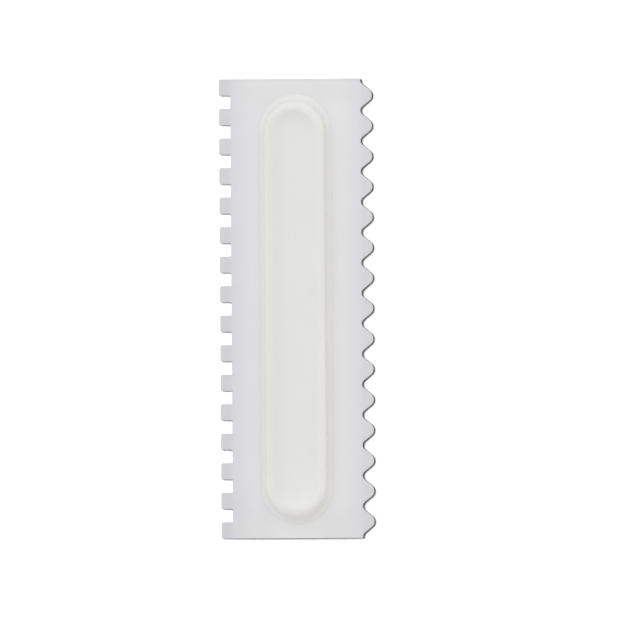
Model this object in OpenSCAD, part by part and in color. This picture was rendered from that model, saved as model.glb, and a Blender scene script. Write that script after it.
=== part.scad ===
// Icing smoother: a flat comb blade with square teeth along one side and round
// waves along the other, and a hollow grip with a dished top along its middle.
// The part lies on its flat back. X runs across it from the square teeth to the
// waves, Y runs along it, and Z points up out of the grip.

/* [Blade] */
// Length of the blade
blade_l = 218; // [210:1:260]
// Width of the blade from the tooth tips to the wave crests
blade_w = 73; // [66:0.5:100]
// Thickness of the blade under the grip
blade_t = 2; // [1.8:0.1:3]
// Thickness of the blade at its two working edges
edge_t = 1.4; // [1:0.1:1.8]
// Width of the margin over which each side of the blade thins
margin_w = 14; // [9:0.5:15]
// Radius of the corners at the ends of the waved side
corner_r = 0.6; // [0.3:0.05:0.7]

/* [Square teeth] */
// Number of square teeth
tooth_count = 16; // [8:1:20]
// Width of one tooth
tooth_w = 7.8; // [5:0.1:10]
// Depth of the gaps between the teeth
tooth_d = 5.5; // [3:0.1:8]
// Radius of the corners at the tooth tips
tip_r = 0.8; // [0.2:0.1:1.5]
// Radius in the inner corners of the gaps
root_r = 0.4; // [0.2:0.1:1]

/* [Waves] */
// Number of waves
wave_count = 15; // [8:1:18]
// Depth of the waves from crest to valley
wave_d = 5.45; // [3:0.05:7]
// Radius of the wave crests
crest_r = 3.5; // [2:0.1:4.2]
// Radius of the wave valleys
valley_r = 2.4; // [1:0.1:2.8]
// Straight stretch left at each end of the waved side
wave_margin = 0.75; // [0.75:0.05:5]

/* [Grip] */
// Length of the grip from the crest of the rim to its crest
rim_l = 190.6; // [150:0.2:194]
// Width of the grip from the crest of the rim to its crest
rim_w = 24; // [22:0.5:28]
// Height of the rim above the blade
grip_h = 8; // [7.5:0.5:14]
// Radius from the crest of the rim down to the outer wall
rim_r = 2.4; // [1.6:0.1:3]
// Draft of the outer wall, in degrees
wall_draft = 5; // [3:1:12]
// How far the end walls lean out beyond the side walls
end_lean = 1.7; // [0.5:0.1:3]
// Radius of the cove where the wall meets the foot
cove_r = 2.4; // [1:0.1:3]
// Thickness of the foot at its outer edge
foot_t = 0.3; // [0.3:0.1:0.8]

/* [Dish] */
// Depth of the dish below the rim
dish_d = 2.5; // [1.6:0.1:2.6]
// Radius from the crest of the rim down into the dish
lip_r = 4; // [2:0.5:5]
// Length of the straight slope below the lip
slope_l = 0.8; // [0.2:0.1:2]
// Radius from the slope to the floor of the dish
dish_r = 12; // [8:0.5:17]

/* [Hollow] */
// Thickness of the shell under the dish
roof_t = 1.8; // [1.2:0.1:2.3]
// Thickness of the side wall just above its foot
wall_t = 1.8; // [1.4:0.1:2.6]
// Height over which the hollow is upright, to take the locating rib
upright_h = 1.8; // [1.6:0.1:2.4]
// Number of cross ribs between two neighbouring posts
bay_ribs = 2; // [1:1:3]
// Thickness of a cross rib
rib_t = 1.2; // [0.8:0.1:2]

/* [Joint] */
// Number of posts that hold the grip on the blade
post_count = 5; // [2:1:7]
// Distance from the centre of a round end back to the first post
post_inset = 7; // [0:1:20]
// Radius of a post
post_r = 1.7; // [1.2:0.1:2.3]
// Gap round a post in its bore
post_gap = 0.05; // [0.02:0.01:0.2]
// Gap under a post in its bore
post_end_gap = 0.1; // [0.05:0.05:0.3]
// Wall of a boss
boss_wall = 1.5; // [1:0.1:2.3]
// Height of a boss above the blade
boss_h = 2.6; // [1.5:0.1:3.2]
// How far a bore goes into the blade
bore_sink = 0.8; // [0.3:0.1:1.2]
// Height of the locating rib
locator_h = 1.4; // [0.8:0.1:1.6]
// Thickness of the locating rib
locator_t = 1.2; // [0.8:0.1:2]
// Gap between the locating rib and the shell
locator_gap = 0.1; // [0.05:0.05:0.4]

/* [Hidden] */
$fn = 96;

// Cutting tools run this far past what they cut
over = 1;
// The ends of straight walls and flanks lie this far inside the arcs that they touch
lap = 0.002;

// Toothed side: the first and the last tooth are flush with the ends of the blade
end_y = blade_l / 2;
tip_x = -blade_w / 2;
root_x = tip_x + tooth_d;
tooth_pitch = (blade_l - tooth_w) / (tooth_count - 1);
tooth_ys = [for (i = [0 : tooth_count - 1]) end_y - tooth_w / 2 - i * tooth_pitch];

// Waved side: crest arcs and valley arcs, joined by straight flanks that touch both
crest_x = blade_w / 2;
valley_x = crest_x - wave_d;
wave_pitch = (blade_l - 2 * wave_margin) / wave_count;
crest_ys = [for (i = [0 : wave_count - 1]) (i - (wave_count - 1) / 2) * wave_pitch];
valley_ys = [for (i = [0 : wave_count]) (i - wave_count / 2) * wave_pitch];
crest_c = crest_x - crest_r;
valley_c = valley_x + valley_r;
to_valley = [valley_c - crest_c, wave_pitch / 2];
flank_a = atan2(to_valley[1], to_valley[0]) - acos((crest_r + valley_r) / norm(to_valley));
flank_n = [cos(flank_a), sin(flank_a)];
flank_low = (valley_r - lap) * flank_n;
flank_high = (crest_r - lap) * flank_n;

// Half section of the grip, as distance from the middle and height above the blade.
// A normal ending in _n points out of the plastic; arcs touch the straight walls.
rim_c = [rim_w / 2, grip_h - rim_r];
wall_n = [cos(wall_draft), sin(wall_draft)];
wall_top = rim_c + rim_r * wall_n;
wall_foot_h = foot_t + cove_r * (1 - wall_n[1]);
wall_foot = [wall_top[0] + (wall_top[1] - wall_foot_h) * tan(wall_draft), wall_foot_h];
cove_c = wall_foot + cove_r * wall_n;

// Side of the dish: an arc over the lip, a short slope and an arc down to the floor. The
// slope is as steep as the depth of the dish needs.
lip_c = [rim_w / 2, grip_h - lip_r];
floor_h = grip_h - dish_d;
both_r = lip_r + dish_r;
slope_a = acos((both_r - dish_d) / norm([both_r, slope_l])) - atan2(slope_l, both_r);
slope_n = [-sin(slope_a), cos(slope_a)];
slope_top = lip_c + lip_r * slope_n;
slope_foot = slope_top - slope_l * [cos(slope_a), sin(slope_a)];
dish_c = slope_foot + dish_r * slope_n;

// Round ends of the grip: where their centres lie, and how much they lean per height
turn_y = (rim_l - rim_w) / 2;
lean = end_lean / grip_h;

// Hollow of the grip: upright at the foot, drafted above, with its ceiling under the dish.
// Its eaves are level with the centre of the rim's outer arc. Its width is rounded to a
// hundredth of a millimetre.
wall_x = wall_top[0] + (wall_top[1] - upright_h) * tan(wall_draft);
hollow_x = round(100 * (wall_x - wall_t / cos(wall_draft))) / 100;
ceiling_h = floor_h - roof_t;
ceiling_r = dish_r + roof_t;
eaves_h = max(rim_c[1], ceiling_h + roof_t / 4);
eaves_out = hollow_x - (eaves_h - upright_h) * tan(wall_draft);
eaves_in = dish_c[0] + sqrt(pow(ceiling_r, 2) - pow(dish_c[1] - eaves_h, 2));

// Posts along the middle of the grip, and cross ribs in the bays between them
post_pitch = 2 * (turn_y - post_inset) / (post_count - 1);
post_ys = [for (i = [0 : post_count - 1]) (i - (post_count - 1) / 2) * post_pitch];
rib_ys = [
    for (i = [0 : post_count - 2], j = [1 : bay_ribs])
        post_ys[i] + j * post_pitch / (bay_ribs + 1)
];
bore_r = post_r + post_gap;
boss_r = bore_r + boss_wall;

// The locating rib and the bosses grow out of the blade from this height
root_z = blade_t / 2;

// Outline of one tooth, down its tip. The corners are cut straight, for discs to round.
function tooth_points(y) = [
    [tip_x + tip_r, y + tooth_w / 2],
    [tip_x, y + tooth_w / 2 - tip_r],
    [tip_x, y - tooth_w / 2 + tip_r],
    [tip_x + tip_r, y - tooth_w / 2]
];

// Outline of the gap below a tooth. Each inner corner steps out to the centre of the
// disc that hollows it.
function gap_points(top, bottom) = [
    [root_x - root_r, top],
    [root_x - root_r, top - root_r],
    [root_x, top - root_r],
    [root_x, bottom + root_r],
    [root_x - root_r, bottom + root_r],
    [root_x - root_r, bottom]
];

// Outline of one wave, upwards from the centre of the valley arc below it
function wave_points(y) = [
    [valley_c, y - wave_pitch / 2],
    [valley_c - flank_low[0], y - wave_pitch / 2 + flank_low[1]],
    [crest_c + flank_high[0], y - flank_high[1]],
    [crest_c + flank_high[0], y + flank_high[1]],
    [valley_c - flank_low[0], y + wave_pitch / 2 - flank_low[1]]
];

function flat(lists) = [for (list = lists) for (item = list) item];

module disc(centre, r) {
    translate(centre) circle(r);
}

module blade_outline() {
    gap_tops = [for (i = [0 : tooth_count - 2]) tooth_ys[i] - tooth_w / 2];
    gap_bottoms = [for (i = [1 : tooth_count - 1]) tooth_ys[i] + tooth_w / 2];
    toothed_side = [
        for (i = [0 : tooth_count - 1])
            concat(
                tooth_points(tooth_ys[i]),
                i < tooth_count - 1 ? gap_points(gap_tops[i], gap_bottoms[i]) : []
            )
    ];
    waved_side = [for (y = crest_ys) wave_points(y)];
    bottom_corner = [
        [valley_x - corner_r, -end_y],
        [valley_x, -end_y + corner_r],
        [valley_x, valley_ys[0]]
    ];
    top_corner = [
        [valley_c, valley_ys[wave_count]],
        [valley_x, valley_ys[wave_count]],
        [valley_x, end_y - corner_r],
        [valley_x - corner_r, end_y]
    ];
    difference() {
        union() {
            polygon(concat(flat(toothed_side), bottom_corner, flat(waved_side), top_corner));
            for (y = tooth_ys, side = [-1, 1]) {
                disc([tip_x + tip_r, y + side * (tooth_w / 2 - tip_r)], tip_r);
            }
            for (y = crest_ys) {
                disc([crest_c, y], crest_r);
            }
            for (side = [-1, 1]) {
                disc([valley_x - corner_r, side * (end_y - corner_r)], corner_r);
            }
        }
        for (y = gap_tops) {
            disc([root_x - root_r, y - root_r], root_r);
        }
        for (y = gap_bottoms) {
            disc([root_x - root_r, y + root_r], root_r);
        }
        for (y = valley_ys) {
            disc([valley_c, y], valley_r);
        }
    }
}

// Cross-section of the blade, which thins towards both working edges
module blade_section() {
    polygon([
        [tip_x - over, 0],
        [crest_x + over, 0],
        [crest_x + over, edge_t],
        [crest_x, edge_t],
        [crest_x - margin_w, blade_t],
        [tip_x + margin_w, blade_t],
        [tip_x, edge_t],
        [tip_x - over, edge_t]
    ]);
}

module blade_plate() {
    intersection() {
        linear_extrude(height = blade_t + over) blade_outline();
        rotate([90, 0, 0]) {
            linear_extrude(height = blade_l + 2 * over, center = true) blade_section();
        }
    }
}

module stadium(half_w, turn) {
    square([2 * half_w, 2 * turn], center = true);
    disc([0, turn], half_w);
    disc([0, -turn], half_w);
}

// Low rib that stands inside the foot of the grip and keeps it in place
module locating_rib() {
    outer = hollow_x - locator_gap;
    translate([0, 0, root_z]) linear_extrude(height = blade_t - root_z + locator_h) {
        difference() {
            stadium(outer, turn_y);
            stadium(outer - locator_t, turn_y);
        }
    }
}

module bosses() {
    for (y = post_ys) {
        translate([0, y, root_z]) cylinder(h = blade_t - root_z + boss_h, r = boss_r);
    }
}

module boss_bores() {
    for (y = post_ys) {
        translate([0, y, blade_t - bore_sink]) cylinder(h = bore_sink + boss_h + over, r = bore_r);
    }
}

module comb_blade() {
    color([0.86, 0.86, 0.89]) {
        difference() {
            union() {
                blade_plate();
                locating_rib();
                bosses();
            }
            boss_bores();
        }
    }
}

// Half section of the grip: drafted wall with a cove at its foot, rounded rim, dished top.
// The rim is rounder outside its crest than inside, so each half is a disc cut there.
module grip_section() {
    difference() {
        union() {
            polygon([
                [0, 0],
                [cove_c[0], 0],
                [cove_c[0], foot_t],
                cove_c,
                wall_foot + lap * wall_n,
                wall_top - lap * wall_n,
                rim_c,
                slope_top - lap * slope_n,
                slope_foot + lap * slope_n,
                dish_c,
                [dish_c[0], floor_h],
                [0, floor_h]
            ]);
            intersection() {
                disc(rim_c, rim_r);
                translate(rim_c) square(rim_r + over);
            }
            intersection() {
                disc(lip_c, lip_r);
                translate([0, rim_c[1]]) square([rim_c[0], rim_r + over]);
            }
        }
        disc(cove_c, cove_r);
        disc(dish_c, dish_r);
    }
}

// Half section of the hollow inside the grip
module hollow_section() {
    difference() {
        polygon([
            [0, -over],
            [hollow_x, -over],
            [hollow_x, upright_h],
            [eaves_out, eaves_h],
            [eaves_in - lap, eaves_h],
            [dish_c[0], ceiling_h],
            [0, ceiling_h]
        ]);
        disc(dish_c, ceiling_r);
    }
}

// Sweeps a half section round a stadium: straight along Y, and half a turn at each end.
// The ends lean outwards towards the foot, so the straight stretch is longer there.
module sweep_round(turn, end_slant) {
    foot_turn = turn + end_slant * grip_h;
    intersection() {
        rotate([90, 0, 0]) linear_extrude(height = 2 * foot_turn, center = true) {
            children();
            mirror([1, 0]) children();
        }
        rotate([90, 0, 90]) linear_extrude(height = 2 * rim_w, center = true) {
            polygon([
                [-foot_turn - end_slant * over, -over],
                [foot_turn + end_slant * over, -over],
                [turn, grip_h],
                [-turn, grip_h]
            ]);
        }
    }
    for (side = [0, 1]) {
        mirror([0, side, 0]) translate([0, turn, 0]) {
            multmatrix([[1, 0, 0, 0], [0, 1, -end_slant, end_slant * grip_h], [0, 0, 1, 0]]) {
                rotate_extrude(angle = 180) children();
            }
        }
    }
}

module cross_ribs() {
    for (y = rib_ys) {
        translate([-hollow_x - over, y - rib_t / 2, upright_h]) {
            cube([2 * (hollow_x + over), rib_t, grip_h]);
        }
    }
}

module grip() {
    post_foot = post_end_gap - bore_sink;
    color([0.91, 0.91, 0.87]) translate([0, 0, blade_t]) {
        difference() {
            sweep_round(turn_y, lean) grip_section();
            difference() {
                sweep_round(turn_y, 0) hollow_section();
                cross_ribs();
            }
        }
        for (y = post_ys) {
            translate([0, y, post_foot]) {
                cylinder(h = ceiling_h + roof_t / 2 - post_foot, r = post_r);
            }
        }
    }
}

comb_blade();
grip();
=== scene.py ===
# Icing smoother: its surfaces, materials, light and camera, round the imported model.
# Lengths are in millimetres up to the point where a mesh, light or camera is made.
# Names end in _L, _W, _H, _D or _T for a length, width, height, depth or thickness, in _R for
# a radius, _C for an arc's centre, _N for an outward normal and _A for an angle in degrees.
import math

import bmesh
import bpy
from mathutils import Matrix, Vector
from mathutils.geometry import delaunay_2d_cdt


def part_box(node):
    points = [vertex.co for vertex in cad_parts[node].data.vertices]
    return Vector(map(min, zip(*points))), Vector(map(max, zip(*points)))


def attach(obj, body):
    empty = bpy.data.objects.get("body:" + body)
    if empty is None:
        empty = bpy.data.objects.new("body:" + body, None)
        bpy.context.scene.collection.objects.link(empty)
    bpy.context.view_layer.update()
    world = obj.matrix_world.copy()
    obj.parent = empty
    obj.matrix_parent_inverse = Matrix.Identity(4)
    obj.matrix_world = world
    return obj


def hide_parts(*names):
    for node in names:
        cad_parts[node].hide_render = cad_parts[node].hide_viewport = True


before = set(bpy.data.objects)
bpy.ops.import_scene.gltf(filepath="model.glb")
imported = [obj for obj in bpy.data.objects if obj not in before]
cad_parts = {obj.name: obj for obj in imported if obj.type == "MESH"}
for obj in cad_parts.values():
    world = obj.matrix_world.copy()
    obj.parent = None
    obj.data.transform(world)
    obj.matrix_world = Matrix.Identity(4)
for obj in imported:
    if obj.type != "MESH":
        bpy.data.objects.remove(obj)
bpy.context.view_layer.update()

MM = 0.001

# Driving sizes of the blade: the overall ones come from the frame
blade_low, blade_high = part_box("comb_blade")
_, grip_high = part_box("grip")
BLADE_L = (blade_high[1] - blade_low[1]) / MM
BLADE_W = (blade_high[0] - blade_low[0]) / MM
TOP_H = grip_high[2] / MM
BLADE_T = 2.0
EDGE_T = 1.4
MARGIN_W = 14.0
CORNER_R = 0.6
TOOTH_COUNT = 16
TOOTH_W = 7.8
TOOTH_D = 5.5
TIP_R = 0.8
ROOT_R = 0.4
WAVE_COUNT = 15
WAVE_D = 5.45
CREST_R = 3.5
VALLEY_R = 2.4
WAVE_MARGIN = 0.75
EDGE_ROUND_R = 0.5
BACK_ROUND_R = 0.25

# Driving sizes of the grip
GRIP_H = TOP_H - BLADE_T
RIM_L = 190.6
RIM_W = 24.0
RIM_R = 2.4
LIP_R = 4.0
WALL_DRAFT_A = 5.0
END_LEAN = 1.7
COVE_R = 2.4
COVE_FOOT_A = 262
FOOT_T = 0.3
FOOT_ROUND_R = 0.2
FOOT_ROUND_A = 75
DISH_D = 2.5
SLOPE_L = 0.8
DISH_R = 12.0
ROOF_T = 1.8
WALL_T = 1.8
UPRIGHT_H = 1.8

# Joint between the two pieces
POST_COUNT = 5
POST_INSET = 7.0
POST_R = 1.7
POST_GAP = 0.05
POST_END_GAP = 0.1
BOSS_WALL_T = 1.5
BOSS_H = 2.6
BORE_D = 0.8
LOCATOR_H = 1.4
LOCATOR_T = 1.2
LOCATOR_GAP = 0.1

# Fineness of the meshes. The clear share is what a lattice leaves free round outlines
ARC_STEP_A = 7.5
LONGEST_EDGE = 3.0
ROUND_STEPS = 4
WALL_STEPS = 4
CLEAR_SHARE = 0.45
SHARP_A = 35
SAME_PLACE = 1e-6
FILL_SAME_PLACE = 1e-7
FILL_INSIDE_ONLY = 1

# Outline of the blade
END_Y = BLADE_L / 2
TIP_X = -BLADE_W / 2
ROOT_X = TIP_X + TOOTH_D
TOOTH_PITCH = (BLADE_L - TOOTH_W) / (TOOTH_COUNT - 1)
VALLEY_X = BLADE_W / 2 - WAVE_D
VALLEY_CENTRE_X = VALLEY_X + VALLEY_R
CREST_CENTRE_X = BLADE_W / 2 - CREST_R
WAVE_PITCH = (BLADE_L - 2 * WAVE_MARGIN) / WAVE_COUNT
TO_VALLEY = Vector((VALLEY_CENTRE_X - CREST_CENTRE_X, WAVE_PITCH / 2))
FLANK_A = math.degrees(
    math.atan2(TO_VALLEY.y, TO_VALLEY.x) - math.acos((CREST_R + VALLEY_R) / TO_VALLEY.length)
)


def direction(degrees):
    """Unit vector at an angle from the first axis."""
    angle = math.radians(degrees)
    return Vector((math.cos(angle), math.sin(angle)))


# Half section of the grip, as distance from the middle and height above the blade
RIM_C = Vector((RIM_W / 2, GRIP_H - RIM_R))
WALL_N = direction(WALL_DRAFT_A)
WALL_TOP = RIM_C + RIM_R * WALL_N
LIP_C = Vector((RIM_W / 2, GRIP_H - LIP_R))
WALL_FOOT_H = FOOT_T + COVE_R * (1 - WALL_N.y)
WALL_TANGENT = math.tan(math.radians(WALL_DRAFT_A))
WALL_FOOT = Vector((WALL_TOP.x + (WALL_TOP.y - WALL_FOOT_H) * WALL_TANGENT, WALL_FOOT_H))
COVE_C = WALL_FOOT + COVE_R * WALL_N
FLOOR_H = GRIP_H - DISH_D
BOTH_R = LIP_R + DISH_R
SLOPE_A = math.degrees(
    math.acos((BOTH_R - DISH_D) / math.hypot(BOTH_R, SLOPE_L)) - math.atan2(SLOPE_L, BOTH_R)
)
SLOPE_N = direction(90 + SLOPE_A)
SLOPE_TOP = LIP_C + LIP_R * SLOPE_N
SLOPE_FOOT = SLOPE_TOP - SLOPE_L * direction(SLOPE_A)
DISH_C = SLOPE_FOOT + DISH_R * SLOPE_N
TURN_Y = (RIM_L - RIM_W) / 2
LEAN_SLANT = END_LEAN / GRIP_H

# Hollow of the grip. Its half width is rounded to hundredths, as in the solids
WALL_X = WALL_TOP.x + (WALL_TOP.y - UPRIGHT_H) * WALL_TANGENT
HOLLOW_X = round(WALL_X - WALL_T / WALL_N.x, 2)
CEILING_H = FLOOR_H - ROOF_T
CEILING_R = DISH_R + ROOF_T
EAVES_H = RIM_C.y
EAVES_OUT_X = HOLLOW_X - (EAVES_H - UPRIGHT_H) * WALL_TANGENT
EAVES_IN_X = DISH_C.x + math.sqrt(CEILING_R ** 2 - (DISH_C.y - EAVES_H) ** 2)
EAVES_A = math.degrees(math.asin((EAVES_IN_X - DISH_C.x) / CEILING_R))
POST_PITCH = 2 * (TURN_Y - POST_INSET) / (POST_COUNT - 1)
POST_YS = [(i - (POST_COUNT - 1) / 2) * POST_PITCH for i in range(POST_COUNT)]


def arc(centre, radius, start, end, hollow=False):
    """Points along an arc in an even number of steps, each with the outline's outward normal.

    A hollow arc has plastic outside it.
    """
    steps = 2 * max(1, math.ceil(abs(end - start) / ARC_STEP_A / 2))
    points = []
    for i in range(steps + 1):
        out = direction(start + (end - start) * i / steps)
        points.append((Vector(centre) + radius * out, -out if hollow else out))
    return points


def without_normals(points):
    """Only the places of the points."""
    return [tuple(place) for place, _ in points]


def spaced(outline):
    """The closed outline, with its long straight stretches divided up and no point twice."""
    points = []
    for (place, normal), (following, _) in zip(outline, outline[1:] + outline[:1]):
        length = (following - place).length
        parts = max(1, math.ceil(length / LONGEST_EDGE))
        if length > SAME_PLACE:
            points += [(place.lerp(following, i / parts), normal) for i in range(parts)]
    return points


def wave_arcs():
    """The waved side, upwards."""
    outline = []
    for i in range(WAVE_COUNT + 1):
        y = (i - WAVE_COUNT / 2) * WAVE_PITCH
        start = 180 if i == 0 else 180 + FLANK_A
        end = 180 if i == WAVE_COUNT else 180 - FLANK_A
        outline += arc((VALLEY_CENTRE_X, y), VALLEY_R, start, end, hollow=True)
        if i < WAVE_COUNT:
            outline += arc((CREST_CENTRE_X, y + WAVE_PITCH / 2), CREST_R, -FLANK_A, FLANK_A)
    return outline


def tooth_arcs():
    """The toothed side, downwards."""
    outline = []
    for i in range(TOOTH_COUNT):
        top = END_Y - i * TOOTH_PITCH
        bottom = top - TOOTH_W
        if i > 0:
            outline += arc((ROOT_X - ROOT_R, top + ROOT_R), ROOT_R, 0, -90, hollow=True)
        outline += arc((TIP_X + TIP_R, top - TIP_R), TIP_R, 90, 180)
        outline += arc((TIP_X + TIP_R, bottom + TIP_R), TIP_R, 180, 270)
        if i < TOOTH_COUNT - 1:
            outline += arc((ROOT_X - ROOT_R, bottom - ROOT_R), ROOT_R, 90, 0, hollow=True)
    return outline


def blade_outline():
    """The blade's outline, counter-clockwise: waved side up, toothed side down."""
    corner_x = VALLEY_X - CORNER_R
    corner_y = END_Y - CORNER_R
    lower = arc((corner_x, -corner_y), CORNER_R, -90, 0)
    upper = arc((corner_x, corner_y), CORNER_R, 0, 90)
    return spaced(lower + wave_arcs() + upper + tooth_arcs())


def stadium(half_w, turn):
    """A straight-sided loop with round ends, counter-clockwise."""
    return spaced(arc((0, -turn), half_w, -180, 0) + arc((0, turn), half_w, 0, 180))


def circle(centre, radius):
    """A round loop, counter-clockwise."""
    return spaced(arc(centre, radius, 0, 360)[:-1])


def thickness(x):
    """Thickness of the blade across its width."""
    into_margin = max(0.0, abs(x) - (BLADE_W / 2 - MARGIN_W)) / MARGIN_W
    return BLADE_T - (BLADE_T - EDGE_T) * min(1.0, into_margin)


def height_at(height, x):
    """A height, which may depend on the place across."""
    return height(x) if callable(height) else height


def make_loop(bm, outline, height, inset=0.0):
    """Vertices at a height along an outline that is moved inwards by the inset."""
    loop = []
    for place, normal in outline:
        moved = place - normal * inset
        loop.append(bm.verts.new((moved.x, moved.y, height_at(height, moved.x))))
    return loop


def bridge(bm, lower, upper):
    """Quads between two loops of as many vertices, facing out of a counter-clockwise pair."""
    count = len(lower)
    for i in range(count):
        j = (i + 1) % count
        bm.faces.new((lower[i], lower[j], upper[j], upper[i]))


def bridge_all(bm, loops):
    """Quads between each loop and the next."""
    for lower, upper in zip(loops, loops[1:]):
        bridge(bm, lower, upper)


def is_inside(point, loop):
    """True if the point lies inside the closed loop of vertices."""
    inside = False
    for a, b in zip(loop, loop[1:] + loop[:1]):
        if (a.co.y > point[1]) != (b.co.y > point[1]):
            x = a.co.x + (point[1] - a.co.y) * (b.co.x - a.co.x) / (b.co.y - a.co.y)
            if x > point[0]:
                inside = not inside
    return inside


def lattice(outer, holes, columns):
    """Places in columns inside the outer loop and outside the holes, clear of both."""
    low = min(v.co.y for v in outer)
    high = max(v.co.y for v in outer)
    edge = [v.co.xy for loop in [outer] + holes for v in loop]
    rows = math.ceil((high - low) / LONGEST_EDGE)
    places = []
    for x in columns:
        for j in range(1, rows):
            place = Vector((x, low + (high - low) * j / rows))
            if not is_inside(place, outer) or any(is_inside(place, hole) for hole in holes):
                continue
            nearest = min((place - other).length_squared for other in edge)
            if nearest > (LONGEST_EDGE * CLEAR_SHARE) ** 2:
                places.append(place)
    return places


def fill(bm, outer, holes, height, columns, down=False):
    """Triangles between an outer loop and the holes in it, with a lattice of vertices inside."""
    loops = [outer] + holes
    verts = [v for loop in loops for v in loop]
    edges = []
    start = 0
    for loop in loops:
        edges += [(start + i, start + (i + 1) % len(loop)) for i in range(len(loop))]
        start += len(loop)
    extra = lattice(outer, holes, columns)
    coords = [v.co.xy for v in verts] + extra
    verts += [bm.verts.new((place.x, place.y, height_at(height, place.x))) for place in extra]
    filled = delaunay_2d_cdt(coords, edges, [], FILL_INSIDE_ONLY, FILL_SAME_PLACE)
    _, _, faces, made_from, _, _ = filled
    for face in faces:
        corners = [verts[made_from[i][0]] for i in face]
        middle = sum((v.co.xy for v in corners), Vector((0, 0))) / len(corners)
        if any(is_inside(middle, hole) for hole in holes):
            continue
        bm.faces.new(reversed(corners) if down else corners)


def finish_mesh(bm, name, material):
    """The mesh as an object in metres, smooth but for its sharp edges."""
    bmesh.ops.scale(bm, vec=(MM, MM, MM), verts=bm.verts)
    mesh = bpy.data.meshes.new(name)
    bm.to_mesh(mesh)
    bm.free()
    for polygon in mesh.polygons:
        polygon.use_smooth = True
    mesh.set_sharp_from_angle(angle=math.radians(SHARP_A))
    mesh.materials.append(material)
    piece = bpy.data.objects.new(name, mesh)
    bpy.context.scene.collection.objects.link(piece)
    weighted = piece.modifiers.new("even_faces", "WEIGHTED_NORMAL")
    weighted.keep_sharp = True
    weighted.mode = "FACE_AREA_WITH_ANGLE"
    return piece


def rounding(radius):
    """Steps round an edge, from the face to the wall, as inset and drop."""
    steps = []
    for i in range(ROUND_STEPS + 1):
        out = direction(90 - 90 * i / ROUND_STEPS)
        steps.append((radius * (1 - out.x), radius * (1 - out.y)))
    return steps


def across(reach, step, marks=()):
    """Places from -reach to reach, a step apart or less, with the marks among them."""
    count = math.ceil(2 * reach / step)
    places = [-reach + 2 * reach * i / count for i in range(1, count)]
    places = [x for x in places if all(abs(x - mark) > step / 2 for mark in marks)]
    return sorted(places + list(marks))


def add_boss(bm, y):
    """A boss with a blind bore. Its foot is a hole to leave in the blade's top."""
    outline = circle((0, y), POST_R + POST_GAP + BOSS_WALL_T)
    foot = make_loop(bm, outline, BLADE_T)
    top = make_loop(bm, outline, BLADE_T + BOSS_H)
    mouth = make_loop(bm, outline, BLADE_T + BOSS_H, BOSS_WALL_T)
    bottom = make_loop(bm, outline, BLADE_T - BORE_D, BOSS_WALL_T)
    bridge_all(bm, [foot, top, mouth, bottom])
    bm.faces.new(bottom)
    return foot


def build_blade(material):
    """The comb blade: toothed plate with rounded edges, locating rib and bosses."""
    bm = bmesh.new()
    outline = blade_outline()
    upper = []
    for inset, drop in rounding(EDGE_ROUND_R):
        upper.append(make_loop(bm, outline, lambda x, d=drop: thickness(x) - d, inset))
    lower = [make_loop(bm, outline, drop, inset) for inset, drop in rounding(BACK_ROUND_R)]
    for inner, outer in zip(upper, upper[1:]):
        bridge(bm, outer, inner)
    bridge_all(bm, lower)
    bridge(bm, lower[-1], upper[-1])
    margin_x = BLADE_W / 2 - MARGIN_W
    columns = across(BLADE_W / 2, LONGEST_EDGE, (-margin_x, margin_x))
    fill(bm, lower[0], [], 0.0, columns, down=True)

    rib_x = HOLLOW_X - LOCATOR_GAP
    rib = stadium(rib_x, TURN_Y)
    feet = [make_loop(bm, rib, BLADE_T, inset) for inset in (0, LOCATOR_T)]
    tops = [make_loop(bm, rib, BLADE_T + LOCATOR_H, inset) for inset in (0, LOCATOR_T)]
    fill(bm, upper[0], [feet[0]], thickness, columns)
    bridge_all(bm, [feet[0], tops[0], tops[1], feet[1]])

    boss_feet = [add_boss(bm, y) for y in POST_YS]
    fill(bm, feet[1], boss_feet, BLADE_T, across(rib_x, LONGEST_EDGE))
    return finish_mesh(bm, "comb_blade_skin", material)


def grip_profile():
    """The grip's outer skin from its foot up to the floor of the dish, as distance and height."""
    foot_edge = Vector((COVE_C.x - FOOT_ROUND_R, FOOT_T - FOOT_ROUND_R))
    skin = [(COVE_C.x, 0.0)]
    skin += without_normals(arc(foot_edge, FOOT_ROUND_R, 0, FOOT_ROUND_A))
    skin += without_normals(arc(COVE_C, COVE_R, COVE_FOOT_A, 180 + WALL_DRAFT_A))
    skin += [tuple(WALL_FOOT.lerp(WALL_TOP, i / WALL_STEPS)) for i in range(1, WALL_STEPS)]
    skin += without_normals(arc(RIM_C, RIM_R, WALL_DRAFT_A, 90))
    skin += without_normals(arc(LIP_C, LIP_R, 90, 90 + SLOPE_A)[1:])
    skin += without_normals(arc(DISH_C, DISH_R, 270 + SLOPE_A, 270))
    return skin


def swept_loop(bm, distance, height, slant):
    """A loop of vertices round the grip. Its ends move out by the slant for each unit of depth."""
    ends_at = TURN_Y + slant * (GRIP_H - height)
    straight = math.ceil(2 * TURN_Y / LONGEST_EDGE)
    bend = math.ceil(180 / (ARC_STEP_A / 2))
    places = [(distance, ends_at * (2 * i / straight - 1)) for i in range(straight)]
    for i in range(bend):
        out = direction(180 * i / bend) * distance
        places.append((out.x, out.y + ends_at))
    z = height + BLADE_T
    return [bm.verts.new((side * x, side * y, z)) for side in (1, -1) for x, y in places]


def add_post(bm, y):
    """A post that hangs from the hollow's ceiling. Its root is a hole to leave in the ceiling."""
    outline = circle((0, y), POST_R)
    root = make_loop(bm, outline, CEILING_H + BLADE_T)
    tip = make_loop(bm, outline, BLADE_T - BORE_D + POST_END_GAP)
    bridge(bm, tip, root)
    bm.faces.new(list(reversed(tip)))
    return root


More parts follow.
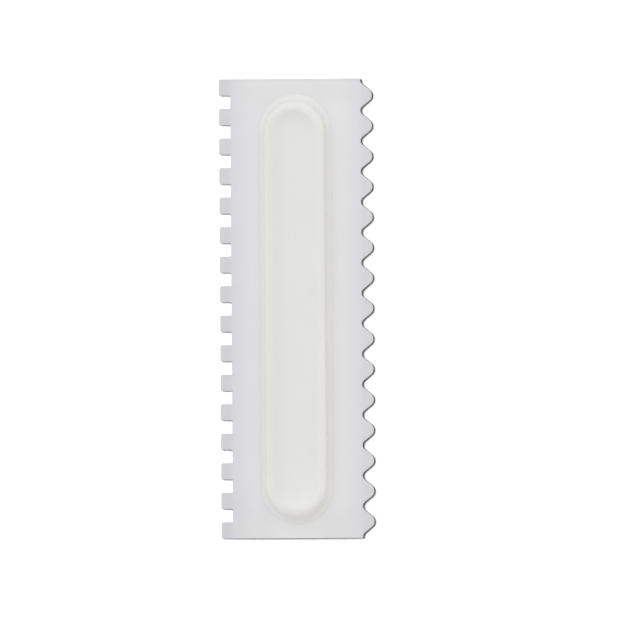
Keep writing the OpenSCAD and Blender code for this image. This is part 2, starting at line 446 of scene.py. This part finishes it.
def build_grip(material):
    """The grip: a swept shell with a dished top, its hollow and the posts in it."""
    bm = bmesh.new()
    skin = [swept_loop(bm, x, height, LEAN_SLANT) for x, height in grip_profile()]
    bridge_all(bm, skin)
    columns = across(DISH_C.x, LONGEST_EDGE / 2)
    fill(bm, skin[-1], [], FLOOR_H + BLADE_T, columns)

    hollow = [
        (HOLLOW_X, 0.0),
        (HOLLOW_X, UPRIGHT_H),
        (EAVES_OUT_X, EAVES_H),
    ]
    hollow += without_normals(arc(DISH_C, CEILING_R, 270 + EAVES_A, 270))
    inner = [swept_loop(bm, x, height, 0.0) for x, height in hollow]
    bridge(bm, inner[0], skin[0])
    for lower, upper in zip(inner, inner[1:]):
        bridge(bm, upper, lower)
    roots = [add_post(bm, y) for y in POST_YS]
    fill(bm, inner[-1], roots, CEILING_H + BLADE_T, columns, down=True)
    return finish_mesh(bm, "grip_skin", material)


# Linear colours of the blade
# The inner colours are whiter round the grip partly for the thicker plastic and partly as painted
# light that fills in the grip's shade on the blade
BLADE_INNER_LEFT = (0.694, 0.688, 0.705)
BLADE_INNER_RIGHT = (0.712, 0.709, 0.712)
BLADE_ENDS = (0.671, 0.670, 0.672)
BLADE_OUTER_LEFT = (0.626, 0.619, 0.652)
BLADE_OUTER_RIGHT = (0.648, 0.641, 0.673)
BLADE_TEETH = (0.580, 0.573, 0.610)
BLADE_WAVES = (0.608, 0.605, 0.618)
# The places where they change, as start and end: across, along, or outwards from the middle
LEFT_TO_RIGHT = (-15, 15)
TO_BLADE_ENDS = (92, 103)
TO_MARGINS = (19, 31)
TO_TIPS = (29.5, 33)
TO_LOW_END = (-98, -84)
OFF_GRIP_END = (7, 17)
TO_TOP_EDGE = (107.4, 108.4)
# Painted shade at the lower end, painted light on the strip of it below the grip, and the
# brightness of the top edge
PAINTED_SHADE_LOW_END_LEVEL = 0.975
PAINTED_LIGHT_BELOW_GRIP_LEVEL = 1.07
TOP_EDGE_LEVEL = 0.95
# Painted shade where the blade turns down over its edges: how much darker it is there, and the
# flatness (one is level) at which it is fully dark and not dark at all
EDGE_SHADE = 0.35
EDGE_FLATNESS = (0.3, 0.98)

# Linear colours of the grip
GRIP_FOOT = (0.696, 0.694, 0.684)
GRIP_MIDDLE = (0.691, 0.692, 0.679)
GRIP_SIDES = (0.688, 0.692, 0.661)
GRIP_SHADED = (0.705, 0.684, 0.655)
# The places where they change: outwards from the middle, along, and upwards
TO_GRIP_SIDES = (3.5, 7.5)
TO_GRIP_TOP = (76, 86)
ABOVE_FOOT = (3, 6)
# Painted shade from the left side inwards, and painted light from the lower end upwards
GRIP_LEFT_SPAN = (-12, 4)
GRIP_LEFT_SHADE_LEVELS = (0.983, 1.004)
GRIP_LOW_SPAN = (-88, -70)
GRIP_LOW_LIGHT_LEVELS = (1.02, 1.0)
# The way that the shaded walls look, and how far a face is turned that way when the shaded
# colour starts and when it is full
SHADED_WAY = (0.8, -1.0, 0)
SHADED_TURN = (0.2, 0.75)

# Gloss and depth of the two plastics
BLADE_ROUGHNESS = 0.42
BLADE_SINK = 0.8
BLADE_MOTTLE = 0.02
GRIP_ROUGHNESS = 0.55
GRIP_SINK = 0.5
GRIP_MOTTLE = 0.015
PLASTIC_IOR = 1.49
SINK_SHARE = 0.25
SINK_COLOUR = (1.0, 0.95, 0.9)
# The range that most of a noise lies in, and the size and detail of each noise
NOISE_RANGE = (0.3, 0.7)
MOTTLES = (22.0, 2.0)
GLOSS_PATCHES = (18.0, 3.0)
GLOSSIER = 0.04
DULLER = 0.05
GRAIN = (0.35, 2.0)
GRAIN_STRENGTH = 0.25
GRAIN_D = 0.02
WAVINESS = (14.0, 1.0)
WAVINESS_STRENGTH = 0.5
WAVINESS_D = 0.12

# Sockets of a Mix node for colours: they share their names with others, so they go by number
MIX_FIRST = 6
MIX_SECOND = 7
MIX_RESULT = 2


def add_node(tree, kind, **settings):
    """A shader node. Settings name its properties or, with _ for a blank, its inputs."""
    node = tree.nodes.new(kind)
    for name, value in settings.items():
        if hasattr(node, name):
            setattr(node, name, value)
        else:
            node.inputs[name.replace("_", " ")].default_value = value
    return node


def coordinate(tree, name):
    """A coordinate on the object: Object is the place, Normal the way that the surface looks."""
    return add_node(tree, "ShaderNodeTexCoord").outputs[name]


def parts_of(tree, vector):
    """The X, Y and Z of a vector."""
    split = add_node(tree, "ShaderNodeSeparateXYZ")
    tree.links.new(vector, split.inputs[0])
    return tuple(split.outputs)


def noise(tree, place, size, detail):
    """Noise with features of a size in millimetres."""
    node = add_node(tree, "ShaderNodeTexNoise", Scale=1 / (size * MM), Detail=detail)
    tree.links.new(place, node.inputs["Vector"])
    return node.outputs["Fac"]


def bumps(tree, height, strength, depth):
    """Bumps of a depth in millimetres."""
    node = add_node(tree, "ShaderNodeBump", Strength=strength, Distance=depth * MM)
    tree.links.new(height, node.inputs["Height"])
    return node


def mapped(tree, value, low, high, to_low, to_high, smooth=False):
    """The value taken from one range to another."""
    node = add_node(
        tree,
        "ShaderNodeMapRange",
        interpolation_type="SMOOTHSTEP" if smooth else "LINEAR",
        From_Min=low,
        From_Max=high,
        To_Min=to_low,
        To_Max=to_high,
    )
    tree.links.new(value, node.inputs["Value"])
    return node.outputs["Result"]


def between(tree, place, span, levels=(0, 1), smooth=True):
    """A level that goes from the first to the second over a span in millimetres."""
    return mapped(tree, place, span[0] * MM, span[1] * MM, *levels, smooth=smooth)


def math_of(tree, operation, *values):
    """One product, size or the like of sockets."""
    node = add_node(tree, "ShaderNodeMath", operation=operation)
    for socket, value in zip(node.inputs, values):
        tree.links.new(value, socket)
    return node.outputs["Value"]


def blend_colours(tree, factor, first, second):
    """Mix of two colours, each a socket or three linear numbers."""
    node = add_node(tree, "ShaderNodeMix", data_type="RGBA")
    tree.links.new(factor, node.inputs["Factor"])
    for socket, colour in zip((node.inputs[MIX_FIRST], node.inputs[MIX_SECOND]), (first, second)):
        if isinstance(colour, tuple):
            socket.default_value = (*colour, 1)
        else:
            tree.links.new(colour, socket)
    return node.outputs[MIX_RESULT]


def dimmed(tree, colour, level):
    """The colour times a level."""
    node = add_node(tree, "ShaderNodeMix", data_type="RGBA", blend_type="MULTIPLY")
    node.inputs["Factor"].default_value = 1.0
    tree.links.new(colour, node.inputs[MIX_FIRST])
    tree.links.new(level, node.inputs[MIX_SECOND])
    return node.outputs[MIX_RESULT]


def painted_edge_shade(tree, colour):
    """The colour, darker where the surface turns down over an edge: painted shade."""
    _, _, up = parts_of(tree, coordinate(tree, "Normal"))
    flatness = math_of(tree, "ABSOLUTE", up)
    return dimmed(tree, colour, mapped(tree, flatness, *EDGE_FLATNESS, 1 - EDGE_SHADE, 1))


def mottled(tree, place, colour, depth):
    """The colour, lighter and darker in faint soft patches."""
    patches = noise(tree, place, *MOTTLES)
    return dimmed(tree, colour, mapped(tree, patches, *NOISE_RANGE, 1 - depth, 1))


def blade_paint(tree, place):
    """Cool white, whiter round the grip partly as painted light, greyer and bluer towards the thin
    working edges.
    """
    x, y, _ = parts_of(tree, place)
    from_middle = math_of(tree, "ABSOLUTE", x)
    to_right = between(tree, x, LEFT_TO_RIGHT, smooth=False)
    inner = blend_colours(tree, to_right, BLADE_INNER_LEFT, BLADE_INNER_RIGHT)
    outer = blend_colours(tree, to_right, BLADE_OUTER_LEFT, BLADE_OUTER_RIGHT)
    tips = blend_colours(tree, to_right, BLADE_TEETH, BLADE_WAVES)
    to_end = between(tree, math_of(tree, "ABSOLUTE", y), TO_BLADE_ENDS)
    # Whiter round the grip than at the ends: partly painted light that fills in the grip's shade
    colour = blend_colours(tree, to_end, inner, BLADE_ENDS)
    colour = blend_colours(tree, between(tree, from_middle, TO_MARGINS), colour, outer)
    colour = blend_colours(tree, between(tree, from_middle, TO_TIPS), colour, tips)
    # Painted shade: the lower end of the blade a little darker
    low_end = between(tree, y, TO_LOW_END, (1, 0))
    colour = dimmed(tree, colour, mapped(tree, low_end, 0, 1, 1, PAINTED_SHADE_LOW_END_LEVEL))
    # Painted light: a pool just below the grip that fills in the shade it throws on the blade
    near_middle = between(tree, from_middle, OFF_GRIP_END, (1, 0))
    painted_light_below_grip = math_of(tree, "MULTIPLY", low_end, near_middle)
    colour = dimmed(tree, colour, mapped(tree, painted_light_below_grip, 0, 1, 1, PAINTED_LIGHT_BELOW_GRIP_LEVEL))
    top_edge = between(tree, y, TO_TOP_EDGE, (1, TOP_EDGE_LEVEL), smooth=False)
    return mottled(tree, place, painted_edge_shade(tree, dimmed(tree, colour, top_edge)), BLADE_MOTTLE)


def grip_paint(tree, place):
    """Warm white: paler in the dish, neutral at the thin foot, warmer on the shaded walls, with
    painted shade and light in the dish.
    """
    x, y, z = parts_of(tree, place)
    to_sides = between(tree, math_of(tree, "ABSOLUTE", x), TO_GRIP_SIDES)
    off_middle = math_of(tree, "MAXIMUM", to_sides, between(tree, y, TO_GRIP_TOP))
    colour = blend_colours(tree, off_middle, GRIP_MIDDLE, GRIP_SIDES)
    # Painted shade on the left of the dish
    colour = dimmed(tree, colour, between(tree, x, GRIP_LEFT_SPAN, GRIP_LEFT_SHADE_LEVELS, smooth=False))
    # Painted light at the lower end of the dish
    colour = dimmed(tree, colour, between(tree, y, GRIP_LOW_SPAN, GRIP_LOW_LIGHT_LEVELS))
    colour = blend_colours(tree, between(tree, z, ABOVE_FOOT), GRIP_FOOT, colour)
    turned = add_node(tree, "ShaderNodeVectorMath", operation="DOT_PRODUCT")
    turned.inputs[1].default_value = SHADED_WAY
    tree.links.new(coordinate(tree, "Normal"), turned.inputs[0])
    to_shade = mapped(tree, turned.outputs["Value"], *SHADED_TURN, 0, 1, smooth=True)
    return mottled(tree, place, blend_colours(tree, to_shade, colour, GRIP_SHADED), GRIP_MOTTLE)


def plastic(name, paint, roughness, sink):
    """Satin moulded plastic: fine grain, faint waviness, uneven gloss, and a little depth."""
    material = bpy.data.materials.new(name)
    material.use_nodes = True
    tree = material.node_tree
    shader = tree.nodes["Principled BSDF"]
    place = coordinate(tree, "Object")
    tree.links.new(paint(tree, place), shader.inputs["Base Color"])
    patches = noise(tree, place, *GLOSS_PATCHES)
    gloss = mapped(tree, patches, *NOISE_RANGE, roughness - GLOSSIER, roughness + DULLER)
    tree.links.new(gloss, shader.inputs["Roughness"])
    shader.inputs["Subsurface Weight"].default_value = SINK_SHARE
    shader.inputs["Subsurface Radius"].default_value = SINK_COLOUR
    shader.inputs["Subsurface Scale"].default_value = sink * MM
    shader.inputs["IOR"].default_value = PLASTIC_IOR
    grain = bumps(tree, noise(tree, place, *GRAIN), GRAIN_STRENGTH, GRAIN_D)
    waviness = bumps(tree, noise(tree, place, *WAVINESS), WAVINESS_STRENGTH, WAVINESS_D)
    tree.links.new(waviness.outputs["Normal"], grain.inputs["Normal"])
    tree.links.new(grain.outputs["Normal"], shader.inputs["Normal"])
    return material


# Floor, size in metres
FLOOR_SIZE = 10.0
FLOOR_GREY = 0.15

# Light: an even world, soft boxes that only the object sees, and a broad sun that only the
# floor sees, so that the thin blade throws a narrow dark shadow to its right and below.
# The boxes' distance and width are in metres
WORLD_LIGHT = 0.938
BOX_DISTANCE = 2.4
# Name, bearing from +X and height above the floor in degrees, width, and share of the light
BOXES = (
    ("key_box", 100, 50, 3.0, 0.236),
    ("left_box", 180, 15, 1.6, 0.016),
    ("right_box", 0, 15, 1.6, 0.018),
)
SUN_TO = Vector((-0.70, 0.31, 1.0))
SUN_LIGHT = 6.6
SUN_WIDTH_A = 28.0


def floor_material():
    """A dull grey, which the sun on the floor brings up to white."""
    material = bpy.data.materials.new("pale_floor")
    material.use_nodes = True
    shader = material.node_tree.nodes["Principled BSDF"]
    shader.inputs["Base Color"].default_value = (FLOOR_GREY, FLOOR_GREY, FLOOR_GREY, 1)
    shader.inputs["Roughness"].default_value = 1.0
    shader.inputs["Specular IOR Level"].default_value = 0.0
    return material


def build_floor():
    """A wide plain floor that the object lies on."""
    bm = bmesh.new()
    bmesh.ops.create_grid(bm, x_segments=1, y_segments=1, size=FLOOR_SIZE)
    mesh = bpy.data.meshes.new("floor")
    bm.to_mesh(mesh)
    bm.free()
    mesh.materials.append(floor_material())
    floor = bpy.data.objects.new("floor", mesh)
    bpy.context.scene.collection.objects.link(floor)
    return floor


def receivers(name, objects):
    """A collection for light linking, outside the scene's own."""
    collection = bpy.data.collections.new(name)
    for item in objects:
        collection.objects.link(item)
    return collection


def aim(obj, towards):
    """Points an object's -Z along a direction."""
    obj.rotation_mode = "QUATERNION"
    obj.rotation_quaternion = towards.to_track_quat("-Z", "Y")


def soft_box(name, bearing, height, size, level, seen_by):
    """A square soft box aimed at the origin. Level is the brightness it gives to a white floor."""
    data = bpy.data.lights.new(name, "AREA")
    data.shape = "SQUARE"
    data.size = size
    out, up = direction(height)
    place = Vector((*(direction(bearing) * out), up)) * BOX_DISTANCE
    data.energy = level * (math.pi * BOX_DISTANCE) ** 2 / up
    light = bpy.data.objects.new(name, data)
    light.location = place
    aim(light, -place)
    light.visible_camera = False
    light.light_linking.receiver_collection = seen_by
    bpy.context.scene.collection.objects.link(light)


def build_world():
    """An even white world."""
    world = bpy.data.worlds.new("studio")
    world.use_nodes = True
    background = world.node_tree.nodes["Background"]
    background.inputs["Color"].default_value = (1, 1, 1, 1)
    background.inputs["Strength"].default_value = WORLD_LIGHT
    bpy.context.scene.world = world


def build_lamps(pieces, ground):
    """The soft boxes for the pieces and the sun for the ground."""
    on_pieces = receivers("lit_object", pieces)
    on_ground = receivers("lit_floor", [ground])
    for box in BOXES:
        soft_box(*box, on_pieces)
    data = bpy.data.lights.new("floor_sun", "SUN")
    data.angle = math.radians(SUN_WIDTH_A)
    data.energy = SUN_LIGHT * math.pi / SUN_TO.normalized().z
    sun = bpy.data.objects.new("floor_sun", data)
    sun.location = SUN_TO
    aim(sun, -SUN_TO)
    sun.light_linking.receiver_collection = on_ground
    bpy.context.scene.collection.objects.link(sun)


# Camera: almost overhead, a little to the right of the object, with a long lens. The photograph
# gives the place of the plate's middle, the scale and the object's slight turn
FRAME_PX = 640
PLATE_MIDDLE_PX = (296.45, 308.7)
PX_PER_MM = 2.1077
TILT_RIGHT_A = 6.0
TURN_A = 0.37
LENS = 1000.0


def build_camera():
    """The camera, set back until the plate has its size in the frame, and moved to place it."""
    data = bpy.data.cameras.new("camera")
    data.lens = LENS
    back = Vector((math.tan(math.radians(TILT_RIGHT_A)), 0, 1)).normalized()
    up = Matrix.Rotation(math.radians(TURN_A), 3, -back) @ Vector((0, 1, 0))
    right = up.cross(back)
    distance = FRAME_PX / PX_PER_MM * MM * data.lens / data.sensor_width
    shift_right = (FRAME_PX / 2 - PLATE_MIDDLE_PX[0]) / PX_PER_MM * MM
    shift_up = (PLATE_MIDDLE_PX[1] - FRAME_PX / 2) / PX_PER_MM * MM
    looked_at = Vector((0, 0, BLADE_T * MM)) + right * shift_right + up * shift_up
    camera = bpy.data.objects.new("camera", data)
    turned = Matrix((right, up, back)).transposed().to_4x4()
    camera.matrix_world = Matrix.Translation(looked_at + back * distance) @ turned
    bpy.context.scene.collection.objects.link(camera)
    bpy.context.scene.camera = camera


blade = build_blade(plastic("blade_plastic", blade_paint, BLADE_ROUGHNESS, BLADE_SINK))
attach(blade, "root")
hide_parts("comb_blade")
grip = build_grip(plastic("grip_plastic", grip_paint, GRIP_ROUGHNESS, GRIP_SINK))
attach(grip, "root")
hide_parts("grip")
stage_floor = build_floor()
build_world()
build_lamps([blade, grip], stage_floor)
build_camera()
bpy.context.scene.view_settings.view_transform = "Standard"
